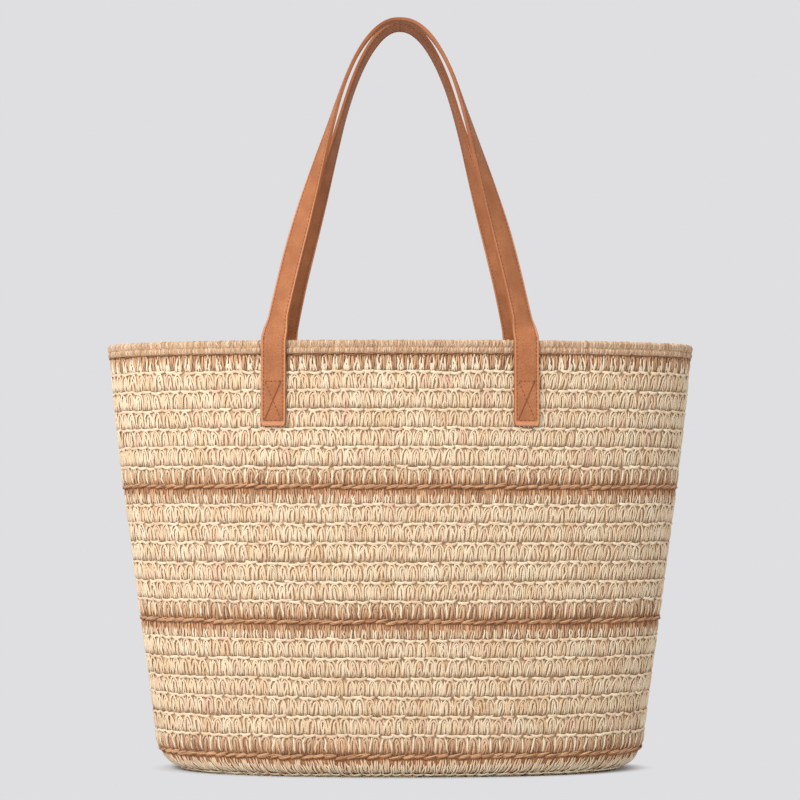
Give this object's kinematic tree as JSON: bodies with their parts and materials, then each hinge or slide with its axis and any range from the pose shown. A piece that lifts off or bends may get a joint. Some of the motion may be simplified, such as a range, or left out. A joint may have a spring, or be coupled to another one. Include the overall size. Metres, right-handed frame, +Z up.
{
  "type": "beach bag",
  "caption": "Crocheted straw beach tote with brown bands, flat oval base, folding leather strap handles, cloth lining, zipped inner pocket and magnetic snap.",
  "frame": {"origin": "middle of the flat base, on the surface that the bag stands on", "axes": "+Z up, the front of the bag faces -Y, +X along the bag's width to the viewer's right"},
  "size_m": [0.4822, 0.1456, 0.6178],
  "materials": {
    "natural_straw": "crocheted paper straw, natural straw colour, matt with a slight gloss on each strand",
    "brown_straw": "crocheted paper straw dyed brown",
    "rim_straw": "dense tan straw, folded over the rim",
    "board": "plain grey-brown stiffening board",
    "lining_cloth": "plain-woven beige lining cloth",
    "facing_leather": "tan leather-look facing, fine grain",
    "strap_leather": "tan leather, satin, fine pebble grain, lighter on worn edges",
    "strap_backing": "darker tan leather, satin",
    "thread": "dark brown waxed thread",
    "zip_tape": "woven zip tape",
    "brass": "pale antique brass"
  },
  "bodies": {
    "bag": {"base_oval": "natural_straw", "lower_stripe": "brown_straw", "lower_courses": "natural_straw", "middle_stripe": "brown_straw", "middle_courses": "natural_straw", "upper_stripe": "brown_straw", "upper_courses": "natural_straw", "rim_binding": "rim_straw", "base_board": "board", "lining_base": "lining_cloth", "lining_wall": "lining_cloth", "mouth_facing": "facing_leather", "slip_pocket": "lining_cloth", "slip_pocket_hem": "facing_leather", "zip_pocket_gusset": "lining_cloth", "zip_pocket_panel": "lining_cloth", "zip_tape_upper": "zip_tape", "zip_tape_lower": "zip_tape", "zip_coil_upper": "brass", "zip_coil_lower": "brass", "zip_stops": "brass", "snap_socket": "brass", "snap_stud": "brass", "snap_washers": "brass", "front_left_end_face": "strap_leather", "front_left_end_backing": "strap_backing", "front_right_end_face": "strap_leather", "front_right_end_backing": "strap_backing", "back_left_end_face": "strap_leather", "back_left_end_backing": "strap_backing", "back_right_end_face": "strap_leather", "back_right_end_backing": "strap_backing", "front_left_patch": "facing_leather", "front_right_patch": "facing_leather", "back_left_patch": "facing_leather", "back_right_patch": "facing_leather", "end_stitching": "thread"},
    "front_handle": {"front_strap_face": "strap_leather", "front_strap_backing": "strap_backing", "front_strap_stitching": "thread", "front_strap_seam": "thread"},
    "back_handle": {"back_strap_face": "strap_leather", "back_strap_backing": "strap_backing", "back_strap_stitching": "thread", "back_strap_seam": "thread"},
    "zip_slider": {"zip_slider": "brass"},
    "zip_pull": {"zip_pull": "brass"}
  },
  "joints": [
    {"name": "front_handle_swing", "type": "hinge", "parent": "bag", "child": "front_handle", "pos_m": [0, -0.0735, 0.31283], "axis": [1, 0, 0], "range_deg": [0, 175]},
    {"name": "back_handle_swing", "type": "hinge", "parent": "bag", "child": "back_handle", "pos_m": [0, 0.0735, 0.31283], "axis": [-1, 0, 0], "range_deg": [0, 175]},
    {"name": "zip_slide", "type": "slide", "parent": "bag", "child": "zip_slider", "axis": [1, 0, 0], "range_m": [0, 0.1185]},
    {"name": "zip_pull_swing", "type": "hinge", "parent": "zip_slider", "child": "zip_pull", "pos_m": [-0.05925, 0.05674, 0.23506], "axis": [-1, 0, 0], "range_deg": [0, 170]}
  ]
}
